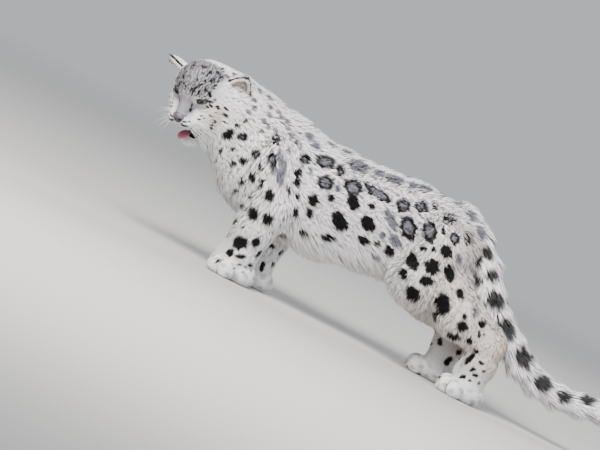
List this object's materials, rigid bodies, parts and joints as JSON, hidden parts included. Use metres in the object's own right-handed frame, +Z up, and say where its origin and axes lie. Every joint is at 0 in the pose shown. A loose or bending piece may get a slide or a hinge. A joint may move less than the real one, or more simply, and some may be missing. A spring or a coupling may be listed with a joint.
{
  "type": "snow leopard",
  "caption": "Snow leopard cub standing on four paws with its head turned to its left, mouth a little open and long thick tail held out behind.",
  "frame": {"origin": "on the floor under the middle of the whole animal's box", "axes": "+Z up, nose towards -X, tail towards +X, the animal's left side towards -Y"},
  "size_m": [1.2502, 0.2434, 0.3772],
  "materials": {
    "coat": "dense soft fur, pale grey with black spots and rosettes",
    "eye": "wet and glossy",
    "nose_leather": "damp satin",
    "tongue_skin": "wet, finely rough"
  },
  "bodies": {
    "root": {"foreleg_left": "coat", "foreleg_right": "coat", "forepaw_left": "coat", "forepaw_right": "coat", "hindleg_left": "coat", "hindleg_right": "coat", "hindfoot_left": "coat", "hindfoot_right": "coat", "torso": "coat", "neck": "coat", "tail_base": "coat", "tail_middle": "coat", "tail_tip": "coat", "eye_left": "eye", "ear_left": "coat", "eye_right": "eye", "ear_right": "coat", "nose": "nose_leather", "head": "coat", "tongue": "tongue_skin"}
  },
  "joints": []
}
